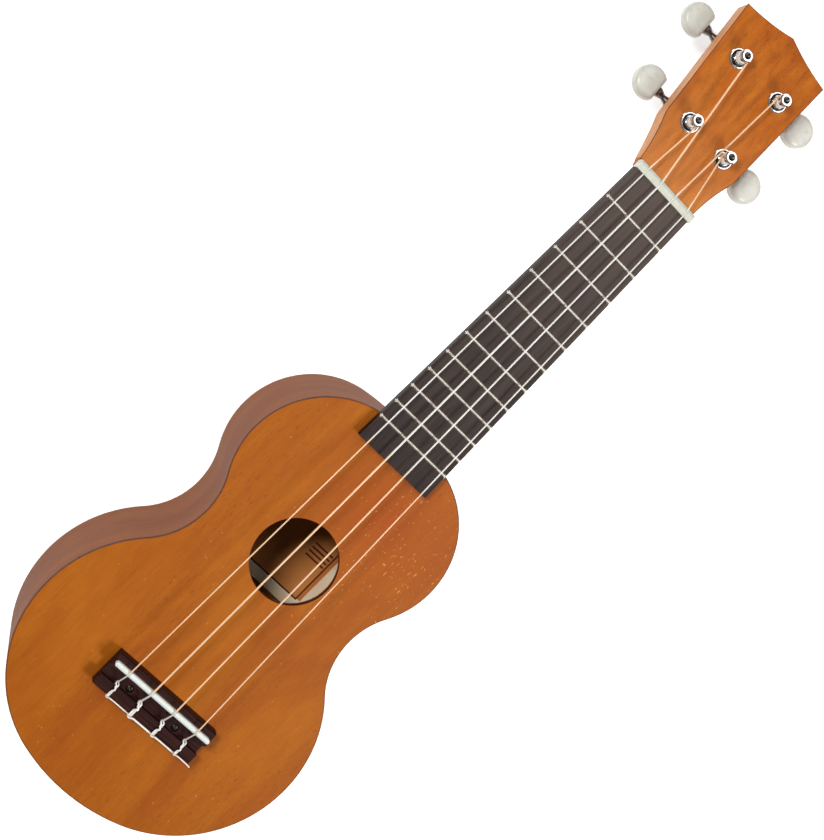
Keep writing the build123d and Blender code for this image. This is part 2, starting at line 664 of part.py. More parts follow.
# ---------------------------------------------------------------- tuning machines
# One machine is drawn for the treble side with its post on the local Z axis: X points
# outwards across the headstock, Y along it and Z out of its face. The bass side is mirrored.
BUSHING_RADIUS, FLANGE_RADIUS, FLANGE_HEIGHT, SLEEVE_DEPTH = 4.1, 5.4, 1.5, 8.0
FLANGE_GROOVE = ((5.4, 0.5), (5.0, 1.0), (4.6, 1.0), (4.3, 0.6), (3.9, 1.5))
POST_HOLLOW_RADIUS, POST_HOLLOW_DEPTH = 1.9, 1.7
BACK_W = -HEAD_THICKNESS
GEAR_W = BACK_W - WORM_DROP
PLATE_HALF_WIDTH = 6.8
PLATE_SCREWS = (-9.5, 15.5)
PLATE_ENDS = (-13.0, 19.0)
LUG_HALF, LUG_REACH = 5.5, 3.3
SCREW_RADIUS, SCREW_LENGTH, SCREW_HEAD_RADIUS = 0.9, 7.0, 1.9
SPIGOT_SIDE = 3.6
THREAD_TURNS = 4
THREAD_ROOT_WIDTH, THREAD_TIP_WIDTH = 0.95, 0.4


def make_bushing():
    inner = POST_RADIUS + RUNNING_CLEARANCE
    return turned([
        (inner, -SLEEVE_DEPTH), (BUSHING_RADIUS, -SLEEVE_DEPTH), (BUSHING_RADIUS, 0), (FLANGE_RADIUS, 0),
        *FLANGE_GROOVE, (inner, FLANGE_HEIGHT),
    ])


def make_post():
    waist_top = POST_HEIGHT - 2.4
    profile = [
        (0, GEAR_W + GEAR_THICKNESS / 2), (POST_RADIUS, GEAR_W + GEAR_THICKNESS / 2),
        (POST_RADIUS, FLANGE_HEIGHT), (POST_WAIST_RADIUS, FLANGE_HEIGHT + 0.5),
        (POST_WAIST_RADIUS, waist_top), (POST_RADIUS + 0.2, waist_top + 1.1),
        (POST_RADIUS + 0.2, POST_HEIGHT - 0.5), (POST_RADIUS - 0.3, POST_HEIGHT),
        (POST_HOLLOW_RADIUS, POST_HEIGHT), (POST_HOLLOW_RADIUS - 0.5, POST_HEIGHT - POST_HOLLOW_DEPTH),
        (0, POST_HEIGHT - POST_HOLLOW_DEPTH),
    ]
    post = turned(profile)
    spigot = Pos(0, 0, GEAR_W) * Box(SPIGOT_SIDE, SPIGOT_SIDE, GEAR_THICKNESS)
    string_hole = Pos(0, 0, waist_top - 0.9) * Rot(90, 0, 0) * Cylinder(0.75, 20)
    screw_hole = Pos(0, 0, GEAR_W) * Cylinder(1.0, 8.0)
    return post + spigot - string_hole - screw_hole


def make_gear():
    """A brass wheel whose teeth lean with the worm's thread."""
    pitch_radius = GEAR_TEETH * WORM_PITCH / (2 * pi)
    lean = WORM_PITCH / (2 * pi * (WORM_OFFSET - pitch_radius)) * GEAR_THICKNESS / pitch_radius
    root_half, tip_half = 0.50 / GEAR_ROOT_RADIUS, 0.24 / GEAR_TIP_RADIUS
    sections = []
    for level in (-0.5, 0.5):
        corners = []
        for tooth in range(GEAR_TEETH):
            middle = pi / 2 + 2 * pi * tooth / GEAR_TEETH + level * lean
            for radius, offset in (
                (GEAR_ROOT_RADIUS, -root_half), (GEAR_TIP_RADIUS, -tip_half),
                (GEAR_TIP_RADIUS, tip_half), (GEAR_ROOT_RADIUS, root_half),
            ):
                corners.append((radius * cos(middle + offset), radius * sin(middle + offset)))
        plane = Plane(origin=(0, 0, GEAR_W + level * GEAR_THICKNESS))
        sections.append(plane * make_face(Polyline(*corners, close=True)))
    wheel = loft(sections, ruled=True)
    return wheel - Pos(0, 0, GEAR_W) * Box(SPIGOT_SIDE, SPIGOT_SIDE, 3 * GEAR_THICKNESS)


def make_gear_screw():
    head_w = GEAR_W - GEAR_THICKNESS / 2
    shank = Pos(0, 0, head_w) * Cylinder(1.0, 4.0, align=(Align.CENTER, Align.CENTER, Align.MIN))
    head = Pos(0, 0, head_w) * Cylinder(2.7, 1.5, align=(Align.CENTER, Align.CENTER, Align.MAX))
    head = fillet(head.edges().group_by(Axis.Z)[0], 0.5)
    slot = Pos(0, 0, head_w - 1.5) * Box(8, 0.8, 1.2)
    return head + shank - slot


def make_base_plate():
    """The mounting plate, with two lugs folded up to carry the worm shaft."""
    low, high = PLATE_ENDS
    plan = Pos(0, (low + high) / 2) * RectangleRounded(2 * PLATE_HALF_WIDTH, high - low, 3.0)
    plate = Pos(0, 0, BACK_W - PLATE_METAL) * extrude(plan, amount=PLATE_METAL)
    for side in (-1, 1):
        x_range = sorted((side * LUG_HALF, side * (LUG_HALF + PLATE_METAL)))
        lug = block(x_range, (WORM_OFFSET - LUG_REACH, WORM_OFFSET + LUG_REACH), (GEAR_W, BACK_W - 0.5))
        eye = rod((x_range[0], WORM_OFFSET, GEAR_W), (x_range[1], WORM_OFFSET, GEAR_W), LUG_REACH)
        plate = plate + lug + eye
    bearing = rod((-20, WORM_OFFSET, GEAR_W), (20, WORM_OFFSET, GEAR_W), SHAFT_RADIUS + RUNNING_CLEARANCE)
    post_hole = Cylinder(POST_RADIUS + RUNNING_CLEARANCE, 60)
    plate = plate - bearing - post_hole
    for along in PLATE_SCREWS:
        plate = plate - Pos(0, along, 0) * Cylinder(SCREW_RADIUS, 60)
    return plate


def make_plate_screws():
    screws = []
    for along in PLATE_SCREWS:
        seat = BACK_W - PLATE_METAL
        shank = Pos(0, along, seat) * Cylinder(
            SCREW_RADIUS, SCREW_LENGTH, align=(Align.CENTER, Align.CENTER, Align.MIN))
        head = Pos(0, along, seat) * Cylinder(
            SCREW_HEAD_RADIUS, 1.3, align=(Align.CENTER, Align.CENTER, Align.MAX))
        head = fillet(head.edges().group_by(Axis.Z)[0], 0.7)
        for turn in (0, 90):
            head = head - Pos(0, along, seat - 1.3) * Rot(0, 0, turn) * Box(2.2, 0.5, 1.2)
        screws.append(head + shank)
    return screws


def make_worm_shaft():
    """The shaft from its riveted inner end to inside the button, with the worm cut on it."""
    worm_half = LUG_HALF - 0.15
    outer = LUG_HALF + PLATE_METAL + 0.15
    inner = -outer
    profile = [
        (0, inner - 1.0), (SHAFT_RADIUS + 0.6, inner - 1.0), (SHAFT_RADIUS + 0.6, inner),
        (SHAFT_RADIUS, inner), (SHAFT_RADIUS, -worm_half), (WORM_ROOT_RADIUS, -worm_half),
        (WORM_ROOT_RADIUS, worm_half), (SHAFT_RADIUS, worm_half), (SHAFT_RADIUS, outer),
        (2.3, outer), (2.3, 11.0), (1.6, 13.5), (1.6, 14.2), (2.7, BUTTON_NEAR - 1.2),
        (2.7, BUTTON_NEAR - 0.2), (1.5, BUTTON_NEAR - 0.2), (1.5, BUTTON_NEAR + 9.0), (0, BUTTON_NEAR + 9.0),
    ]
    shaft = turned(profile)
    height = THREAD_TURNS * WORM_PITCH
    path = Pos(0, 0, -height / 2) * Helix(WORM_PITCH, height, WORM_ROOT_RADIUS - 0.15)
    depth = WORM_TIP_RADIUS - WORM_ROOT_RADIUS + 0.15
    start = Plane(origin=path @ 0, x_dir=(1, 0, 0), z_dir=(0, -1, 0))
    tooth = make_face(Polyline(
        (0, -THREAD_ROOT_WIDTH / 2), (depth, -THREAD_TIP_WIDTH / 2),
        (depth, THREAD_TIP_WIDTH / 2), (0, THREAD_ROOT_WIDTH / 2), close=True,
    ))
    thread = sweep(start * tooth, path=path, is_frenet=True)
    along_x = Plane(origin=(0, WORM_OFFSET, GEAR_W), x_dir=(0, -1, 0), z_dir=(1, 0, 0))
    half_pitch_turn = Rot(0, 0, 180)
    return along_x.location * half_pitch_turn * (shaft + thread)


def make_button():
    """A flat-sided disc with soft edges and a small hub on the shaft side."""
    centre = BUTTON_NEAR + BUTTON_CHORD
    disc = Circle(BUTTON_RADIUS) & Pos(10 - BUTTON_CHORD, 0) * Rectangle(20, 40)
    corners = disc.vertices().group_by(Axis.X)[0]
    disc = fillet(corners, 1.6)
    solid = Pos(centre, WORM_OFFSET, GEAR_W - BUTTON_THICKNESS / 2) * extrude(disc, amount=BUTTON_THICKNESS)
    rims = solid.faces().sort_by(Axis.Z)[0].edges() + solid.faces().sort_by(Axis.Z)[-1].edges()
    solid = fillet(rims, 2.6)
    bore = rod((0, WORM_OFFSET, GEAR_W), (BUTTON_NEAR + 9.0, WORM_OFFSET, GEAR_W), 1.5)
    return solid - bore


def place_machine(shape, index):
    across, along, side = post_places()[index]
    if side < 0:
        shape = mirror(shape, about=Plane.YZ)
    return HEAD_PLANE.location * Pos(across, along, 0) * shape


def main():
    os.makedirs("parts", exist_ok=True)
    pieces = {
        "soundboard": make_soundboard(),
        "back": make_back(),
        **make_sides(),
        "neck_block": make_neck_block(),
        "tail_block": make_tail_block(),
        **make_linings(),
        **{name: cross_brace(*row) for name, row in BRACES.items()},
        "fan_braces": make_fan_braces(),
        "bridge_plate": make_bridge_plate(),
        "sound_hole_patch": make_hole_patch(),
        "paper_label": make_label(),
        "neck": make_neck(),
        "neck_dowels": dowels(),
        "fingerboard": make_fingerboard(),
        "frets": make_frets(),
        "nut": make_nut(),
        "bridge": make_bridge(),
        "saddle": make_saddle(),
    }
    machine = {
        "post": make_post(),
        "gear": make_gear(),
        "gear_screw": make_gear_screw(),
        "base_plate": make_base_plate(),
        "worm_shaft": make_worm_shaft(),
        "button": make_button(),
    }
    bushing, screws = make_bushing(), make_plate_screws()
    pieces["post_bushings"] = []
    pieces["machine_screws"] = []
    for index, name in enumerate(STRING_NAMES):
        pieces[f"{name}_string"], length = make_string(index)
        pieces[f"{name}_winding"] = make_winding(index)
        expected = pi * STRING_DIAMETERS[index] ** 2 / 4 * length
        print(f"{name} string: {length:.1f} mm long, volume {pieces[name + '_string'].volume:.2f}",
              f"against {expected:.2f} for its section")
        for kind, shape in machine.items():
            pieces[f"{name}_{kind}"] = place_machine(shape, index)
        pieces["post_bushings"].append(place_machine(bushing, index))
        pieces["machine_screws"] += [place_machine(screw, index) for screw in screws]
    for name, shape in pieces.items():
        save(name, shape)
    print(len(pieces), "pieces written")


main()
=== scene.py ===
"""Looks of a soprano ukulele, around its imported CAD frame.

Metres, in the frame of the CAD: the ukulele lies on its back, +Z comes out of its face,
+Y points to the headstock and +X to the treble side.
"""
import bmesh
import bpy
import json
from math import acos, atan2, cos, hypot, pi, radians, sin
from mathutils import Matrix, Vector


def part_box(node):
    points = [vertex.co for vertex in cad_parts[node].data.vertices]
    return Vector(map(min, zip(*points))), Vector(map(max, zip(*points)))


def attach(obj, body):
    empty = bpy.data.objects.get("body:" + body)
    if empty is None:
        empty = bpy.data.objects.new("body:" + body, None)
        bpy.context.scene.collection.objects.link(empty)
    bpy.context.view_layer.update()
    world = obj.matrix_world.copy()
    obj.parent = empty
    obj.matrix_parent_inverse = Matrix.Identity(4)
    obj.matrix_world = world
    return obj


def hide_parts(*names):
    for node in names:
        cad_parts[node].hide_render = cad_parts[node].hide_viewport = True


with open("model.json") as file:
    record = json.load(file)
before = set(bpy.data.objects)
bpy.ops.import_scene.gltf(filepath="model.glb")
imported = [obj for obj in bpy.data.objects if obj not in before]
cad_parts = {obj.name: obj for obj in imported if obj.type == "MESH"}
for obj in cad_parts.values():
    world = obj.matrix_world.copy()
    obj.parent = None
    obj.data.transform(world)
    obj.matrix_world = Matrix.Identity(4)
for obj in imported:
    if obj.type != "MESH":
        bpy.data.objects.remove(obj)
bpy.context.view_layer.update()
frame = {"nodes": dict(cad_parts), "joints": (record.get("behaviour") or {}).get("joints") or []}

nodes = frame["nodes"]
joints = {joint["name"]: joint for joint in frame["joints"]}
scene = bpy.context.scene
MM = 0.001
STRINGS = ("g", "c", "e", "a")
STRING_RADII = dict(zip(STRINGS, (0.37 * MM, 0.52 * MM, 0.45 * MM, 0.37 * MM)))


# ---------------------------------------------------------------- places, from the CAD boxes
nut_low, nut_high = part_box("nut")
bridge_low, bridge_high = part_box("bridge")
board_low, board_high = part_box("fingerboard")
NUT_FRONT, NUT_REAR = nut_low[1], nut_high[1]
TOP_FACE, BRIDGE_TOP = bridge_low[2], bridge_high[2]
BOARD_END, BOARD_TOP = board_low[1], board_high[2]
FRETS_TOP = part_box("frets")[1][2]
SADDLE_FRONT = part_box("saddle")[1][1]
LABEL_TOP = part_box("paper_label")[1][2]


def at_station(station):
    """Y at a distance from the nut towards the tail."""
    return NUT_FRONT - station


# ---------------------------------------------------------------- shader helpers
class Shader:
    """A material and short ways to add and link its nodes."""

    def __init__(self, name):
        self.material = bpy.data.materials.new(name)
        self.material.use_nodes = True
        self.tree = self.material.node_tree
        self.surface = self.tree.nodes["Principled BSDF"]

    def add(self, kind, settings=None, **inputs):
        node = self.tree.nodes.new(f"ShaderNode{kind}")
        for key, value in (settings or {}).items():
            setattr(node, key, value)
        for key, value in inputs.items():
            self.set(node, key.replace("_", " "), value)
        return node

    def set(self, node, socket, value):
        """Links an output or another node's first output, or stores a plain value."""
        target = node.inputs[int(socket) if socket.isdigit() else socket]
        if isinstance(value, bpy.types.Node):
            value = value.outputs[0]
        if isinstance(value, bpy.types.NodeSocket):
            self.tree.links.new(value, target)
        else:
            target.default_value = value

    def noise(self, scale, detail=3.0, roughness=0.5, distortion=0.0):
        """Noise with so many features in a metre along each axis."""
        coordinates = self.add("TexCoord")
        mapping = self.add("Mapping", Scale=scale)
        self.set(mapping, "Vector", coordinates.outputs["Object"])
        node = self.add(
            "TexNoise", Vector=mapping, Scale=1.0, Detail=detail, Roughness=roughness,
            Distortion=distortion)
        return node.outputs["Fac"]

    def ramp(self, value, *stops):
        """A colour ramp with (place, colour) stops; a colour may be one grey number."""
        node = self.add("ValToRGB", Fac=value)
        elements = node.color_ramp.elements
        while len(elements) < len(stops):
            elements.new(0.5)
        for element, (place, colour) in zip(elements, stops):
            grey = isinstance(colour, (int, float))
            element.position = place
            element.color = (colour, colour, colour, 1) if grey else (*colour, 1)
        return node.outputs["Color"]

    def math(self, operation, first, second=0.0, third=0.0):
        node = self.add("Math", {"operation": operation})
        for index, value in enumerate((first, second, third)):
            self.set(node, str(index), value)
        return node.outputs[0]

    def mix(self, first, second, share, blend="MIX"):
        node = self.add("Mix", {"data_type": "RGBA", "blend_type": blend})
        self.set(node, "0", share)
        for index, value in (("6", first), ("7", second)):
            if isinstance(value, tuple) and len(value) == 3:
                value = (*value, 1)
            self.set(node, index, value)
        return node.outputs[2]

    def bump(self, height, strength, distance):
        return self.add("Bump", Height=height, Strength=strength, Distance=distance).outputs[0]

    def finish(self, **inputs):
        for key, value in inputs.items():
            if isinstance(value, tuple) and len(value) == 3:
                value = (*value, 1)
            self.set(self.surface, key.replace("_", " "), value)
        return self.material


def srgb(red, green, blue):
    """A colour given as 0 to 255 display values, as linear light."""
    values = [value / 255 for value in (red, green, blue)]
    return tuple(v / 12.92 if v <= 0.04045 else ((v + 0.055) / 1.055) ** 2.4 for v in values)


def scaled(grain, features):
    """The values of a grain, or of a colour, times a number."""
    return tuple(features * part for part in grain)


# ---------------------------------------------------------------- woods
# How many features a wood has in a metre across its grain, and the share of them along each axis.
ALONG_NECK = (1.0, 0.05, 1.0)
ALONG_BRIDGE = (0.05, 1.0, 1.0)
ROUND_RIBS = (0.05, 0.05, 1.0)
LEAST_SOFT, LEAST_PORE = 0.3, 0.11
CLOUDS, PATCHES, MOTTLE, FIGURE, FIBRE, PORES = 28, 40, 160, 330, 2200, 2600
BOARD_STREAKS, BOARD_FIBRE, BOARD_PORES = 420, 1800, 2600
WOOD_BUMP = 0.3
# How thick the headstock is, and how far the painted sheen reaches on the headstock and on the
# fingerboard.
HEAD_THICKNESS, HEAD_SHEEN_LENGTH, BOARD_SHEEN_LENGTH = 10.3 * MM, 60 * MM, 210 * MM


def stained_mahogany(name, red, body, gold, grain, streaks, gloss=0.42, specular=0.18, edge=None):
    """Open-pored mahogany under a thin stained lacquer; an edge rule may recolour it by place."""
    s = Shader(name)
    soft_grain = tuple(max(part, LEAST_SOFT) for part in grain)
    pore_grain = tuple(max(part, LEAST_PORE) for part in grain)
    clouds = s.noise(scaled(soft_grain, CLOUDS), detail=3, roughness=0.6, distortion=0.8)
    mottle = s.noise(scaled(soft_grain, MOTTLE), detail=4, roughness=0.6)
    figure = s.noise(scaled(grain, FIGURE), detail=4, roughness=0.62, distortion=0.25)
    fibre = s.noise(scaled(grain, FIBRE), detail=2, roughness=0.7)
    pores = s.noise(scaled(pore_grain, PORES), detail=1, roughness=0.4)
    patches = s.noise(scaled(soft_grain, PATCHES), detail=1)
    colour = s.ramp(clouds, (0.34, red), (0.5, body), (0.68, gold))
    colour = s.mix(colour, s.ramp(mottle, (0.3, red), (0.7, gold)), 0.28)
    colour = s.mix(colour, s.ramp(figure, (0.36, 0.62), (0.62, 1.06)), streaks, "MULTIPLY")
    colour = s.mix(colour, s.ramp(fibre, (0.3, 0.80), (0.7, 1.08)), 0.5, "MULTIPLY")
    open_pores = s.ramp(pores, (0.63, 0.0), (0.70, 1.0))
    pits = s.math("MULTIPLY", open_pores, s.ramp(patches, (0.40, 0.25), (0.62, 1.0)))
    colour = s.mix(colour, scaled(red, 0.45), s.math("MULTIPLY", pits, 0.5))
    if edge:
        colour = edge(s, colour, figure)
    height = s.math("SUBTRACT", s.math("MULTIPLY", fibre, 0.25), pits)
    return s.finish(
        Base_Color=colour,
        Roughness=s.math("MULTIPLY_ADD", mottle, 0.14, gloss),
        Normal=s.bump(height, WOOD_BUMP, 0.07 * MM),
        Specular_IOR_Level=specular,
    )


def under_plane(s, point, normal, soft):
    """How far a place lies below a plane, from 0 on it to 1 at the soft depth."""
    coordinates = s.add("TexCoord")
    offset = s.add("VectorMath", {"operation": "SUBTRACT"})
    s.set(offset, "0", coordinates.outputs["Object"])
    s.set(offset, "1", tuple(point))
    depth = s.add("VectorMath", {"operation": "DOT_PRODUCT"})
    s.set(depth, "0", offset)
    s.set(depth, "1", tuple(normal))
    return s.ramp(s.math("DIVIDE", depth.outputs["Value"], -soft), (0.0, 0.0), (1.0, 1.0))


def head_wall(s, colour, figure):
    """A headstock with a painted sheen by the nut, painted shade along the face's rounded edge and
    pale walls.
    """
    wall = s.ramp(figure, (0.3, srgb(176, 118, 76)), (0.7, srgb(206, 150, 104)))
    joint = joints["g_post_turn"]
    face = Vector(joint["pos_m"])
    normal = Vector(joint["axis"]).normalized()
    # Painted shade along the rounded edge of the face, past the nut.
    arris_shade = under_plane(s, face, normal, 0.12 * MM)
    under = under_plane(s, face - 0.5 * MM * normal, normal, 0.25 * MM)
    beyond_nut = under_plane(s, (0, NUT_REAR, 0), (0, -1, 0), 1.0 * MM)
    arris_shade = s.math("MULTIPLY", arris_shade, beyond_nut)
    under = s.math("MULTIPLY", under, beyond_nut)
    # Painted sheen: paler by the nut, fading towards the tip.
    toward_tip = under_plane(s, (0, NUT_REAR, 0), (0, -1, 0), HEAD_SHEEN_LENGTH)
    painted_head_sheen = s.ramp(toward_tip, (0.0, 0.0), (0.02, 0.42), (0.55, 0.14), (1.0, 0.0))
    colour = s.mix(colour, srgb(206, 140, 78), painted_head_sheen)
    colour = s.mix(colour, srgb(92, 34, 8), arris_shade)
    rear = under_plane(s, face - (HEAD_THICKNESS - 0.6 * MM) * normal, normal, 0.5 * MM)
    under = s.math("SUBTRACT", under, s.math("MULTIPLY", rear, beyond_nut))
    return s.mix(colour, wall, s.math("MAXIMUM", under, 0.0))


FLUSH_PLACE, FLUSH_RADIUS = (18 * MM, -52 * MM, TOP_FACE), 48 * MM
# Where the painted highlight on the pores lies, and the grain of its glints.
GLINT_PLACE, GLINT_RADIUS = (37 * MM, -62 * MM, TOP_FACE), 60 * MM
GLINT_GRAIN = (1100, 420, 1100)


def near_point(s, point, radius):
    """1 at a place, fading to 0 at a distance from it."""
    coordinates = s.add("TexCoord")
    distance = s.add("VectorMath", {"operation": "DISTANCE"})
    s.set(distance, "0", coordinates.outputs["Object"])
    s.set(distance, "1", tuple(point))
    return s.ramp(s.math("DIVIDE", distance.outputs["Value"], radius), (0.0, 1.0), (1.0, 0.0))


def top_edge(s, colour, figure):
    """A redder patch by the neck, painted highlights glinting on the pores near it, and a dark line
    round the edge.
    """
    flush = near_point(s, FLUSH_PLACE, FLUSH_RADIUS)
    colour = s.mix(colour, srgb(150, 60, 10), s.math("MULTIPLY", flush, 0.55))
    # Painted highlight: glinting pores in the upper bout on the treble side are painted lighter.
    painted_glints = s.noise(GLINT_GRAIN, detail=1, roughness=0.3)
    glint_area = near_point(s, GLINT_PLACE, GLINT_RADIUS)
    glint_level = s.ramp(s.math("MULTIPLY_ADD", glint_area, 0.11, painted_glints), (0.775, 0.0), (0.81, 1.0))
    colour = s.mix(colour, srgb(214, 144, 80), s.math("MULTIPLY", glint_level, 0.55))
    line = under_plane(s, (0, 0, TOP_FACE - 0.06 * MM), (0, 0, 1), 0.12 * MM)
    return s.mix(colour, srgb(62, 22, 8), line)


def dark_wood(name, deep, light, grain=ALONG_NECK, specular=0.3, top_face=None):
    """Dark close wood; with a top face, it gets a painted sheen by the nut and painted shade down
    its sides.
    """
    s = Shader(name)
    streaks = s.noise(scaled(grain, BOARD_STREAKS), detail=4, roughness=0.65, distortion=0.4)
    fibre = s.noise(scaled(grain, BOARD_FIBRE), detail=2, roughness=0.6)
    pores = s.noise(scaled(grain, BOARD_PORES), detail=1)
    colour = s.ramp(streaks, (0.32, deep), (0.68, light))
    colour = s.mix(colour, s.ramp(fibre, (0.35, 0.7), (0.6, 1.05)), 0.6, "MULTIPLY")
    if top_face:
        # Painted sheen: paler from the nut along the board.
        past_nut = under_plane(s, (0, NUT_FRONT, 0), (0, 1, 0), BOARD_SHEEN_LENGTH)
        painted_board_sheen = s.ramp(past_nut, (0.0, 0.42), (0.5, 0.14), (1.0, 0.0))
        colour = s.mix(colour, srgb(104, 90, 82), painted_board_sheen)
        # Painted shade: darker down the board's sides, below its top face.
        side = under_plane(s, (0, 0, top_face - 0.3 * MM), (0, 0, 1), 0.2 * MM)
        colour = s.mix(colour, scaled(deep, 0.4), side)
    pits = s.ramp(pores, (0.62, 0.0), (0.7, 1.0))
    height = s.math("SUBTRACT", s.math("MULTIPLY", fibre, 0.4), pits)
    return s.finish(
        Base_Color=colour,
        Roughness=s.math("MULTIPLY_ADD", streaks, 0.2, 0.42),
        Normal=s.bump(height, WOOD_BUMP, 0.06 * MM),
        Specular_IOR_Level=specular,
    )


def bare_wood(name):
    """Unfinished wood, inside the body."""
    s = Shader(name)
    bands = s.noise((300, 15, 300), detail=4, roughness=0.6)
    return s.finish(
        Base_Color=s.ramp(bands, (0.3, srgb(112, 62, 34)), (0.7, srgb(146, 88, 50))),
        Roughness=s.math("MULTIPLY_ADD", bands, 0.1, 0.7),
        Normal=s.bump(bands, WOOD_BUMP, 0.1 * MM),
    )


# ---------------------------------------------------------------- metals and plastics
FINE, WEAR = 2500, 0.06


def even(features):
    """So many features in a metre along all three axes."""
    return scaled((1, 1, 1), features)


def plated(name, dull, bright, roughness):
    """Plated metal, slightly hazed and scuffed."""
    s = Shader(name)
    fine = s.noise(even(FINE), detail=2)
    haze = s.noise(even(300), detail=3)
    return s.finish(
        Base_Color=s.ramp(haze, (0.35, dull), (0.65, bright)),
        Metallic=1.0,
        Roughness=s.math("MULTIPLY_ADD", fine, WEAR, roughness),
    )


def pearl_plastic(name):
    """Button plastic with a faint pearly swirl."""
    s = Shader(name)
    swirl = s.noise(even(130), detail=3, roughness=0.5, distortion=2.0)
    return s.finish(
        Base_Color=s.ramp(swirl, (0.3, srgb(188, 188, 180)), (0.7, srgb(199, 200, 193))),
        Roughness=s.math("MULTIPLY_ADD", swirl, 0.1, 0.24),
        Subsurface_Weight=0.15,
        Subsurface_Scale=3 * MM,
    )


def moulded_white(name, dull, bright):
    """Off-white plastic of the nut and saddle."""
    s = Shader(name)
    cloud = s.noise(even(500), detail=3)
    return s.finish(
        Base_Color=s.ramp(cloud, (0.3, dull), (0.7, bright)),
        Roughness=s.math("MULTIPLY_ADD", cloud, 0.1, 0.34),
        Subsurface_Weight=0.1,
        Subsurface_Scale=2 * MM,
    )


def nylon_line(name, with_wood_light=True, clear=0.3):
    """Clear nylon: pale, with painted orange light where bright wood lies under it."""
    s = Shader(name)
    cloud = s.noise((150, 60, 150), detail=2)
    pale = s.ramp(cloud, (0.3, srgb(232, 228, 222)), (0.7, srgb(242, 240, 236)))
    # Painted light: the orange glow of the wood under the string.
    painted_wood_light = s.ramp(cloud, (0.3, srgb(246, 204, 160)), (0.7, srgb(252, 216, 176)))
    soft = 6 * MM
    over_head = under_plane(s, (0, NUT_REAR, 0), (0, -1, 0), soft)
    past_board = under_plane(s, (0, BOARD_END + soft, 0), (0, 1, 0), soft)
    at_bridge = under_plane(s, (0, SADDLE_FRONT, 0), (0, 1, 0), 2 * MM)
    wood = s.math("SUBTRACT", s.math("MAXIMUM", over_head, past_board), at_bridge)
    return s.finish(
        Base_Color=s.mix(pale, painted_wood_light, s.math("MAXIMUM", wood, 0.0)) if with_wood_light else pale,
        Roughness=s.math("MULTIPLY_ADD", cloud, 0.1, 0.28),
        Transmission_Weight=clear,
        IOR=1.53,
    )


def paper(name, dull, bright):
    """Paper, plain or printed in one colour."""
    s = Shader(name)
    cloud = s.noise(even(90), detail=4)
    fibre = s.noise(even(3000), detail=2)
    return s.finish(
        Base_Color=s.ramp(cloud, (0.3, dull), (0.7, bright)),
        Roughness=s.math("MULTIPLY_ADD", fibre, 0.1, 0.8),
        Normal=s.bump(fibre, 0.2, 0.03 * MM),
    )


TOP = stained_mahogany(
    "top_mahogany", srgb(147, 72, 5), srgb(157, 83, 7), srgb(167, 94, 12),
    ALONG_NECK, streaks=0.2, edge=top_edge)
HEAD = stained_mahogany(
    "neck_mahogany", srgb(146, 64, 6), srgb(170, 88, 14), srgb(186, 107, 28),
    ALONG_NECK, streaks=0.55, edge=head_wall)
RIBS = stained_mahogany(
    "rib_mahogany", srgb(112, 56, 18), srgb(125, 66, 22), srgb(136, 76, 30),
    ROUND_RIBS, streaks=0.25, gloss=0.5, specular=0.12)
BACK = stained_mahogany(
    "back_mahogany", srgb(126, 68, 24), srgb(140, 78, 28), srgb(150, 88, 36),
    ALONG_NECK, streaks=0.35)
BOARD = dark_wood(
    "dark_fingerboard", srgb(20, 13, 13), srgb(54, 41, 38), specular=0.2, top_face=BOARD_TOP)
BRIDGE = dark_wood("dark_bridge", srgb(28, 8, 8), srgb(56, 26, 20), ALONG_BRIDGE, specular=0.12)
BARE = bare_wood("bare_wood")
CHROME = plated("chrome", (0.80, 0.80, 0.81), (0.88, 0.88, 0.88), 0.07)
NICKEL = plated("nickel_silver", (0.54, 0.50, 0.44), (0.64, 0.59, 0.52), 0.38)
STEEL = plated("plated_steel", (0.56, 0.56, 0.57), (0.66, 0.66, 0.66), 0.25)
SHAFT = plated("dark_plated_steel", (0.16, 0.13, 0.12), (0.24, 0.20, 0.18), 0.3)
# Near-black steel, for the bridge bolts and for the painted shade on the posts.
DARK_STEEL = plated("dark_steel", (0.030, 0.028, 0.027), (0.06, 0.055, 0.05), 0.35)
BRASS = plated("brass", (0.72, 0.52, 0.24), (0.82, 0.62, 0.30), 0.25)
PEARL = pearl_plastic("pearl_plastic")
WHITE = moulded_white("moulded_white", srgb(182, 185, 172), srgb(192, 195, 183))
SADDLE = moulded_white("saddle_white", srgb(202, 210, 206), srgb(210, 217, 214))
NYLON = nylon_line("nylon_line")
COILED = nylon_line("coiled_nylon", with_wood_light=False)
TIED = nylon_line("tied_nylon", with_wood_light=False, clear=0.1)
PAPER = paper("label_paper", srgb(252, 222, 188), srgb(255, 238, 210))
PANEL = paper("label_panel", srgb(214, 134, 66), srgb(226, 146, 78))
BAND = paper("label_band", srgb(206, 118, 50), srgb(216, 128, 58))
INK = paper("label_ink", srgb(82, 32, 16), srgb(100, 42, 24))

FINISHES = {
    "soundboard": TOP, "back": BACK, "left_side": RIBS, "right_side": RIBS, "neck": HEAD,
    "fingerboard": BOARD, "bridge": BRIDGE, "frets": NICKEL, "nut": WHITE, "saddle": SADDLE,
    "post_bushings": CHROME, "machine_screws": STEEL, "paper_label": PAPER,
}
KINDS = {
    "string": NYLON, "winding": COILED, "post": CHROME, "gear": BRASS, "gear_screw": STEEL,
    "base_plate": STEEL, "worm_shaft": SHAFT, "button": PEARL,
}


def finish_of(name):
    """The material of a CAD node."""
    kind = name.split("_", 1)[-1]
    if name[0] in STRINGS and name[1] == "_" and kind in KINDS:
        return KINDS[kind]
    return FINISHES.get(name, BARE)


for name, node in nodes.items():
    node.data.materials.clear()
    node.data.materials.append(finish_of(name))


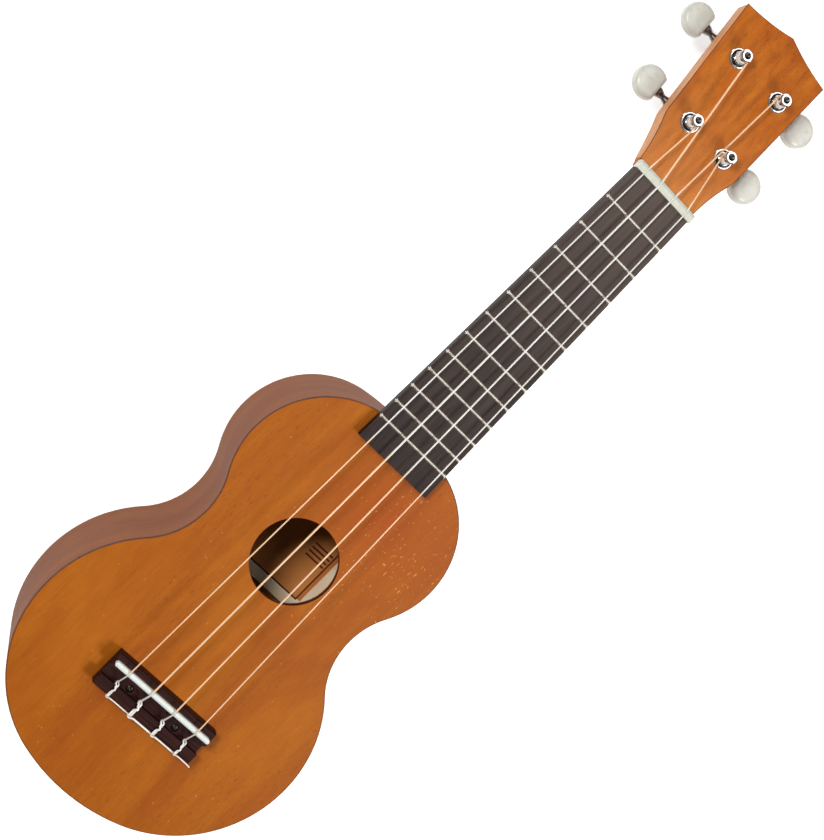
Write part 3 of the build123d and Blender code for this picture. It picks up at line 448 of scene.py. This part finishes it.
# ---------------------------------------------------------------- shape helpers
def mesh_piece(name, work, material, body="body"):
    """Makes a piece from a bmesh that rides on a body."""
    mesh = bpy.data.meshes.new(name)
    work.to_mesh(mesh)
    work.free()
    piece = bpy.data.objects.new(name, mesh)
    scene.collection.objects.link(piece)
    mesh.materials.append(material)
    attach(piece, body)
    return piece


def tube(name, points, radius, body="body", smooth=4, material=NYLON):
    """A line of nylon along a smooth curve."""
    data = bpy.data.curves.new(name, "CURVE")
    data.dimensions = "3D"
    data.bevel_depth = radius
    data.bevel_resolution = 4
    data.resolution_u = smooth
    data.use_fill_caps = True
    spline = data.splines.new("NURBS")
    spline.points.add(len(points) - 1)
    for control, point in zip(spline.points, points):
        control.co = (*point, 1)
    spline.order_u = 3
    spline.use_endpoint_u = True
    piece = bpy.data.objects.new(name, data)
    scene.collection.objects.link(piece)
    data.materials.append(material)
    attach(piece, body)
    return piece


def sheet_of_rectangles(name, rectangles, low, high, material):
    """Thin flat prints, given as (x from, x to, y from, y to)."""
    work = bmesh.new()
    for x_from, x_to, y_from, y_to in rectangles:
        size = Vector((x_to - x_from, y_to - y_from, high - low))
        middle = Vector(((x_from + x_to) / 2, (y_from + y_to) / 2, (low + high) / 2))
        place = Matrix.Translation(middle) @ Matrix.Diagonal((*size, 1))
        bmesh.ops.create_cube(work, size=1.0, matrix=place)
    return mesh_piece(name, work, material)


def turned(name, profile, centre, material, axis=(0, 0, 1), body="body", segments=32):
    """A turned piece, from (radius, height) pairs in mm; a ring's profile ends where it starts."""
    work = bmesh.new()
    points = [Vector((radius * MM, 0, height * MM)) for radius, height in profile]
    corners = [work.verts.new(point) for point in points]
    edges = [work.edges.new(pair) for pair in zip(corners, corners[1:])]
    bmesh.ops.spin(
        work, geom=corners + edges, cent=(0, 0, 0), axis=(0, 0, 1), angle=2 * pi, steps=segments,
        use_merge=True)
    bmesh.ops.remove_doubles(work, verts=work.verts, dist=0.0001 * MM)
    bmesh.ops.recalc_face_normals(work, faces=work.faces)
    turn = Vector((0, 0, 1)).rotation_difference(Vector(axis)).to_matrix().to_4x4()
    bmesh.ops.transform(work, matrix=Matrix.Translation(centre) @ turn, verts=work.verts)
    for face in work.faces:
        face.smooth = True
    return mesh_piece(name, work, material, body)


SPREAD_AT_NUT, SPREAD_AT_SADDLE = 29.2 * MM, 45.4 * MM
STRING_OVER_FIRST_FRET = 0.6 * MM


def string_x(index, spread):
    """How far a string lies from the centre line, where the outer two are so far apart."""
    return spread * (index / (len(STRINGS) - 1) - 0.5)


# ---------------------------------------------------------------- turns of string on the posts
POST_WAIST_RADIUS = 2.35 * MM
TURN_LOW, TURN_GAP, RING_GAP, TURNS = 2.1 * MM, 0.04 * MM, 0.03 * MM, 3
STEPS_IN_TURN, FLAT_STEPS = 20, 3


def winding(index, name):
    """The string's own helix on its post, from where the string lands down to the bushing."""
    joint = joints[f"{name}_post_turn"]
    post, normal = Vector(joint["pos_m"]), Vector(joint["axis"]).normalized()
    across = Vector((1, 0, 0))
    along = normal.cross(across)
    side = 1 if post.x > 0 else -1
    radius = STRING_RADII[name]
    reach = POST_WAIST_RADIUS + radius + RING_GAP
    over_nut = Vector((
        string_x(index, SPREAD_AT_NUT),
        (NUT_FRONT + NUT_REAR) / 2,
        FRETS_TOP + STRING_OVER_FIRST_FRET + radius,
    ))
    start = over_nut - post
    away_x, away_y = start.dot(across), start.dot(along)
    landing = atan2(away_y, away_x) - side * acos(reach / hypot(away_x, away_y))
    top = TURN_LOW + TURNS * (2 * radius + TURN_GAP) + radius + RING_GAP
    bottom = TURN_LOW + radius
    count = TURNS * STEPS_IN_TURN
    points = []
    for step in range(count + 1):
        angle = landing - side * 2 * pi * step / STEPS_IN_TURN
        height = top + (bottom - top) * max(step - FLAT_STEPS, 0) / (count - FLAT_STEPS)
        points.append(post + reach * (cos(angle) * across + sin(angle) * along) + height * normal)
    points.append(post + 0.6 * reach * (cos(angle) * across + sin(angle) * along) + bottom * normal)
    piece = tube(f"{name}_turns", points, radius, f"{name}_roller", 3, COILED)
    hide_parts(f"{name}_winding")


# ---------------------------------------------------------------- ties and tails at the bridge
TIE_SIDESTEP = 0.95 * MM
MOUTH_STATION, BAR_REAR_STATION = 356.8 * MM, 363.9 * MM
HOLE_HEIGHT = 5.4 * MM
LAST_TAIL = 11.5 * MM
KNOT_SETBACKS = dict(zip(STRINGS, (0.2 * MM, 0.0, 0.4 * MM, 1.6 * MM)))


def tie(index, name):
    """The string's free end: over the bar, round itself at the hole, back over and along the rear.

    The route is given as (across, station, height).
    """
    x, radius = string_x(index, SPREAD_AT_SADDLE), STRING_RADII[name]
    bar, rear = BRIDGE_TOP + radius, BAR_REAR_STATION + radius
    mouth, hole = MOUTH_STATION, TOP_FACE + HOLE_HEIGHT
    knot = mouth + KNOT_SETBACKS[name]
    spacing = SPREAD_AT_SADDLE / (len(STRINGS) - 1)
    last = name == STRINGS[-1]
    reach = LAST_TAIL if last else spacing - 0.2 * MM
    thick, tail = 2 * radius, bar - 1.7 * MM
    first = x + TIE_SIDESTEP
    second = first - thick - 0.02 * MM
    route = [
        (first, mouth + 0.5 * MM, bar),
        (first, mouth - 0.1 * MM, bar + 0.02 * MM),
        (first, mouth - 0.7 * MM, bar - 0.5 * MM),
        (x + 0.5 * MM, mouth - 1.0 * MM, hole - 0.2 * MM),
        (x - 0.2 * MM, mouth - 1.0 * MM, hole - 0.4 * MM),
        (x - 0.8 * MM, mouth - 0.6 * MM, bar - 1.0 * MM),
        (second, mouth + 0.3 * MM, bar + 0.1 * MM),
        (second, knot + 0.6 * MM, bar + 0.2 * thick),
        (second + 0.2 * thick, knot + 1.1 * MM, bar + 0.8 * thick),
        (first - 0.1 * thick, knot + 1.5 * MM, bar + 1.1 * thick),
        (first + 0.25 * thick, knot + 2.1 * MM, bar + 0.95 * thick),
        (first - 0.1 * thick, knot + 2.7 * MM, bar + 1.1 * thick),
        (second + 0.15 * thick, knot + 3.1 * MM, bar + 0.7 * thick),
        (second, knot + 3.7 * MM, bar + 0.05 * MM),
        (second, rear - 1.0 * MM, bar + 0.02 * MM),
        (second, rear - 0.1 * MM, bar - 0.1 * MM),
        (second, rear + 0.1 * MM, bar - 0.9 * MM),
        (second + 0.1 * MM, rear + 0.35 * thick, bar - 1.5 * MM),
        (first, rear + 1.05 * thick, bar - 1.8 * MM),
        (first + thick, rear + 0.7 * thick, tail),
        (first + 2 * thick, rear + 0.1 * MM, tail),
        (x + 0.5 * reach, rear + 0.05 * MM, tail),
        (x + 0.85 * reach, rear + (0.2 * MM if last else 0.05 * MM), tail),
        (x + reach, rear + (0.5 * MM if last else 0.1 * MM), tail),
    ]
    points = [(px, at_station(station), pz) for px, station, pz in route]
    tube(f"{name}_tie", points, radius, smooth=6, material=TIED)


for index, name in enumerate(STRINGS):
    winding(index, name)
    tie(index, name)


# ---------------------------------------------------------------- bridge bolts
BOLT_X, BOLT_STATION, CHANNEL_HEIGHT, RECESS_DEPTH = 15.3 * MM, 355.2 * MM, 3.8 * MM, 1.6 * MM
# (radius, height) in mm above the bolt's seat
BOLT_PROFILE = (
    (0, 0.0), (1.75, 0.0), (1.75, 0.7), (1.45, 1.15),
    (0.95, 1.3), (0.8, 1.25), (0.75, 0.5), (0, 0.4))

for name, side in (("bass", -1), ("treble", 1)):
    floor_height = TOP_FACE + CHANNEL_HEIGHT - RECESS_DEPTH
    seat = Vector((side * BOLT_X, at_station(BOLT_STATION), floor_height))
    turned(f"bridge_bolt_{name}", BOLT_PROFILE, seat, DARK_STEEL)


# ---------------------------------------------------------------- dark pieces on the posts: painted shade in the hollow top and in the flange's groove
# (radius, height) in mm above the headstock's face
POST_TOP = 9.2
HOLLOW_SHADE_PROFILE = (
    (0, POST_TOP - 1.68), (1.40, POST_TOP - 1.68), (1.86, POST_TOP - 0.1), (1.78, POST_TOP - 0.1),
    (1.30, POST_TOP - 1.55), (0, POST_TOP - 1.55))
GROOVE_SHADE_PROFILE = (
    (3.40, 1.50), (3.90, 1.50), (4.20, 0.80), (4.30, 0.84),
    (3.96, 1.56), (3.40, 1.56), (3.40, 1.50))

for name in STRINGS:
    joint = joints[f"{name}_post_turn"]
    post, normal = Vector(joint["pos_m"]), Vector(joint["axis"]).normalized()
    # Painted shade: near-black pieces fill the post's hollow top and the groove of its flange,
    # where the shade lies.
    turned(f"{name}_post_hollow_shade", HOLLOW_SHADE_PROFILE, post, DARK_STEEL, normal, f"{name}_roller")
    turned(f"{name}_post_groove_shade", GROOVE_SHADE_PROFILE, post, DARK_STEEL, normal)


# ---------------------------------------------------------------- dark edge lines: round the top, and painted shade round the headstock's face
WELD, ON_PLANE = 0.002 * MM, 0.01 * MM


def flat_loops(node, point, normal):
    """The closed outlines of a node's flat face on a plane, longest first."""
    work = bmesh.new()
    work.from_mesh(node.data)
    bmesh.ops.remove_doubles(work, verts=work.verts, dist=WELD)
    place = node.matrix_world
    near_plane = {v for v in work.verts if abs((place @ v.co - point).dot(normal)) < ON_PLANE}
    flat = {f for f in work.faces if all(v in near_plane for v in f.verts)}
    rim = {e: None for e in work.edges if sum(f in flat for f in e.link_faces) == 1}
    loops = []
    while rim:
        edge = next(iter(rim))
        del rim[edge]
        chain = [edge.verts[0], edge.verts[1]]
        while chain[-1] is not chain[0]:
            onward = [e for e in chain[-1].link_edges if e in rim]
            if not onward:
                break
            del rim[onward[0]]
            chain.append(onward[0].other_vert(chain[-1]))
        loops.append([place @ v.co for v in chain])
    work.free()
    return sorted(loops, key=lambda loop: -sum((a - b).length for a, b in zip(loop, loop[1:])))


EDGE_LINE_RADIUS, EDGE_LINE_DEPTH = 0.3 * MM, 0.28 * MM


def stained_edge(name, loop, normal):
    """A thin dark line that follows a closed edge, just under its face."""
    data = bpy.data.curves.new(name, "CURVE")
    data.dimensions = "3D"
    data.bevel_depth = EDGE_LINE_RADIUS
    data.bevel_resolution = 2
    spline = data.splines.new("POLY")
    points = loop[:-1]
    spline.points.add(len(points) - 1)
    for control, point in zip(spline.points, points):
        control.co = (*(point - EDGE_LINE_DEPTH * normal), 1)
    spline.use_cyclic_u = True
    piece = bpy.data.objects.new(name, data)
    scene.collection.objects.link(piece)
    data.materials.append(EDGE_DARK)
    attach(piece, "body")


EDGE_DARK = dark_wood("edge_line_dark", srgb(74, 30, 8), srgb(96, 44, 14))
HOLE_STAIN = dark_wood("hole_stain", srgb(98, 26, 14), srgb(124, 40, 22))
top_point, top_normal = Vector((0, 0, TOP_FACE)), Vector((0, 0, 1))
top_outline, hole_outline = flat_loops(nodes["soundboard"], top_point, top_normal)[:2]
stained_edge("top_edge_line", top_outline, top_normal)
hole_middle = sum(hole_outline[:-1], Vector()) / (len(hole_outline) - 1)
hole_radius = (hole_outline[0] - hole_middle).length / MM
LINING_TOP, LINING_BOTTOM, LINING_WIDTH, LINING_SKIN = -0.25, -5.0, 5.0, 0.02
PLATE_UNDERSIDE = -2.02
lining = (
    (hole_radius, LINING_TOP), (hole_radius, LINING_BOTTOM),
    (hole_radius + LINING_WIDTH, LINING_BOTTOM), (hole_radius + LINING_WIDTH, PLATE_UNDERSIDE),
    (hole_radius + LINING_SKIN, PLATE_UNDERSIDE), (hole_radius + LINING_SKIN, LINING_TOP),
    (hole_radius, LINING_TOP))
turned("hole_lining", lining, hole_middle, HOLE_STAIN, segments=96)
head_point = Vector(joints["g_post_turn"]["pos_m"])
head_normal = Vector(joints["g_post_turn"]["axis"]).normalized()
head_outline = flat_loops(nodes["neck"], head_point, head_normal)[0]
# Painted shade: the dark line along the headstock face's edge stands for the shade where the
# rounded edge turns from the light.
stained_edge("head_edge_shade", head_outline, head_normal)


# ---------------------------------------------------------------- print on the label, with no words
PANEL_HALF, PANEL_NEAR, PANEL_FAR = 31.6 * MM, 224.0 * MM, 276.2 * MM
LINE, BAND_WIDTH = 0.9 * MM, 2.2 * MM
RULE_STATIONS = (247.2 * MM, 249.8 * MM, 252.3 * MM, 254.9 * MM)
RULE_FROM, RULE_TO, RULE_WIDTH = 18.2 * MM, 31.0 * MM, 0.95 * MM
PRINT_STEP = 0.03 * MM
FIRST_PRINT = LABEL_TOP + PRINT_STEP
near, far = at_station(PANEL_NEAR), at_station(PANEL_FAR)
sheet_of_rectangles(
    "label_panel", [(-PANEL_HALF, PANEL_HALF, far, near)], LABEL_TOP, FIRST_PRINT, PANEL)
outer = PANEL_HALF + LINE
sheet_of_rectangles("label_band", [
    (-outer - BAND_WIDTH, -outer, far, near), (outer, outer + BAND_WIDTH, far, near),
], LABEL_TOP, FIRST_PRINT, BAND)
rules = [
    (RULE_FROM, RULE_TO, at_station(station + RULE_WIDTH / 2), at_station(station - RULE_WIDTH / 2))
    for station in RULE_STATIONS
]
frame_lines = [
    (-outer, -PANEL_HALF, far, near), (PANEL_HALF, outer, far, near),
    (-outer, outer, far - LINE, far), (-outer, outer, near, near + LINE),
]
sheet_of_rectangles(
    "label_lines", rules + frame_lines, FIRST_PRINT, FIRST_PRINT + PRINT_STEP, INK)


# ---------------------------------------------------------------- floor, light and camera
FLOOR_HALF, FLOOR_DROP, FLOOR_GLOW = 6.0, 0.2 * MM, 0.6
WORLD_LIGHT = 0.15


def make_floor():
    """A pale floor just under the back, bright enough to read as white."""
    s = Shader("studio_floor")
    work = bmesh.new()
    bmesh.ops.create_grid(work, x_segments=2, y_segments=2, size=FLOOR_HALF)
    mesh = bpy.data.meshes.new("floor")
    work.to_mesh(mesh)
    work.free()
    floor = bpy.data.objects.new("floor", mesh)
    scene.collection.objects.link(floor)
    floor.location.z = -FLOOR_DROP
    grain = s.noise(even(3), detail=2)
    mesh.materials.append(s.finish(
        Base_Color=s.ramp(grain, (0.0, 0.84), (1.0, 0.87)),
        Roughness=0.9,
        Emission_Color=(1, 1, 1),
        Emission_Strength=FLOOR_GLOW,
        Specular_IOR_Level=0.1,
    ))


def area_light(name, place, target, size, power, colour=(1, 1, 1)):
    """A round soft light that points at a place."""
    data = bpy.data.lights.new(name, "AREA")
    data.shape = "DISK"
    data.size = size
    data.energy = power
    data.color = colour
    light = bpy.data.objects.new(name, data)
    scene.collection.objects.link(light)
    light.location = place
    light.rotation_euler = (Vector(target) - Vector(place)).to_track_quat("-Z", "Y").to_euler()


CAMERA_PLACE = Vector((-0.24428, 0.01053, 0.9045))
CAMERA_TARGET = Vector((-0.0101, -0.00875, 0.0682))
CAMERA_UP_HEADING = radians(135.6)
CAMERA_LENS, SENSOR = 76.28, 36.0


def make_camera():
    """Looks down on the face, with the neck towards the upper right."""
    data = bpy.data.cameras.new("camera")
    data.lens = CAMERA_LENS
    data.sensor_width = SENSOR
    data.clip_start = 0.01
    camera = bpy.data.objects.new("camera", data)
    scene.collection.objects.link(camera)
    forward = (CAMERA_TARGET - CAMERA_PLACE).normalized()
    heading = Vector((cos(CAMERA_UP_HEADING), sin(CAMERA_UP_HEADING), 0))
    right = forward.cross(heading).normalized()
    up = right.cross(forward)
    turn = Matrix((right, up, -forward)).transposed().to_4x4()
    camera.matrix_world = Matrix.Translation(CAMERA_PLACE) @ turn
    scene.camera = camera


def make_light():
    """Soft light from both sides, and a broad sheen for the fingerboard."""
    world = bpy.data.worlds.new("studio")
    scene.world = world
    world.use_nodes = True
    background = world.node_tree.nodes["Background"]
    background.inputs["Color"].default_value = (1, 1, 1, 1)
    background.inputs["Strength"].default_value = WORLD_LIGHT
    body = (0, 0, 0.05)
    board = (0, 0.15, 0.06)
    area_light("key", (0.9, -0.1, 1.1), body, size=0.4, power=12.2)
    area_light("fill", (-0.78, 0.1, 1.15), body, size=0.4, power=13.8, colour=(1, 0.97, 0.92))
    area_light("sheen", (0.34, 0.72, 1.07), board, size=0.9, power=4.0)


scene.view_settings.view_transform = "Standard"
make_floor()
make_light()
make_camera()
